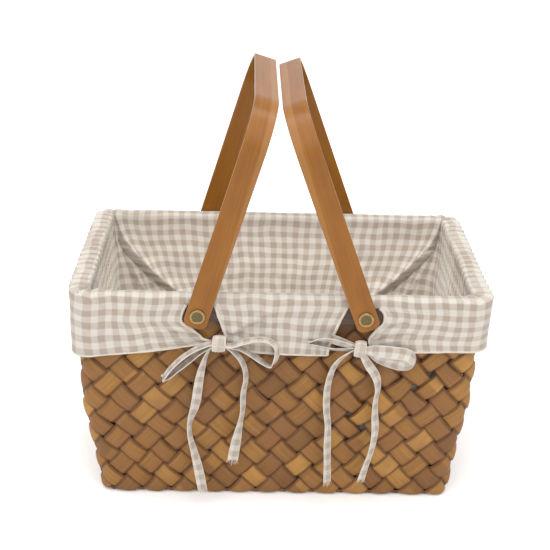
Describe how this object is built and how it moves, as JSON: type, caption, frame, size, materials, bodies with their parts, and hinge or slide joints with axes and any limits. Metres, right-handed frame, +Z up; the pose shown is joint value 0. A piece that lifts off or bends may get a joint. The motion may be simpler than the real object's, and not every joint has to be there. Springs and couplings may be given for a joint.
{
  "type": "bread basket",
  "caption": "Rectangular plaited wood basket with a wooden rim, two swinging bentwood handles and a gingham cloth liner folded over the rim and tied on with bows.",
  "frame": {"origin": "middle of the base, at floor level, centred on the bounding box", "axes": "+Z up, X along the basket from the left end to the right, +Y from the front long wall to the back one"},
  "size_m": [0.4078, 0.2578, 0.4212],
  "materials": {
    "weave": "satin",
    "rim_band": "satin",
    "handle_wood": "satin varnish",
    "gingham": "matt woven cotton",
    "tie": "matt woven cotton",
    "antique_brass": "aged",
    "spacer": "aged",
    "tack": "satin"
  },
  "bodies": {
    "basket": {"woven_body": "weave", "outer_rim_band": "rim_band", "inner_rim_band": "rim_band", "rim_tacks": "tack", "liner_pocket": "gingham", "skirt_front": "gingham", "skirt_back": "gingham", "skirt_left": "gingham", "skirt_right": "gingham", "rivet_front_left": "antique_brass", "spacer_front_left": "spacer", "burr_front_left": "antique_brass", "tie_bow_front_left": "tie", "tie_end_front_left_outer": "tie", "tie_end_front_left_inner": "tie", "rivet_front_right": "antique_brass", "spacer_front_right": "spacer", "burr_front_right": "antique_brass", "tie_bow_front_right": "tie", "tie_end_front_right_outer": "tie", "tie_end_front_right_inner": "tie", "rivet_back_right": "antique_brass", "spacer_back_right": "spacer", "burr_back_right": "antique_brass", "tie_bow_back_right": "tie", "tie_end_back_right_outer": "tie", "tie_end_back_right_inner": "tie", "rivet_back_left": "antique_brass", "spacer_back_left": "spacer", "burr_back_left": "antique_brass", "tie_bow_back_left": "tie", "tie_end_back_left_outer": "tie", "tie_end_back_left_inner": "tie"},
    "left_handle": {"left_handle": "handle_wood"},
    "right_handle": {"right_handle": "handle_wood"}
  },
  "joints": [
    {"name": "left_handle_swing", "type": "hinge", "parent": "basket", "child": "left_handle", "pos_m": [-0.0808, 0, 0.214], "axis": [0, -1, 0], "range_deg": [0, 152]},
    {"name": "right_handle_swing", "type": "hinge", "parent": "basket", "child": "right_handle", "pos_m": [0.0808, 0, 0.214], "axis": [0, 1, 0], "range_deg": [0, 155.4]}
  ]
}
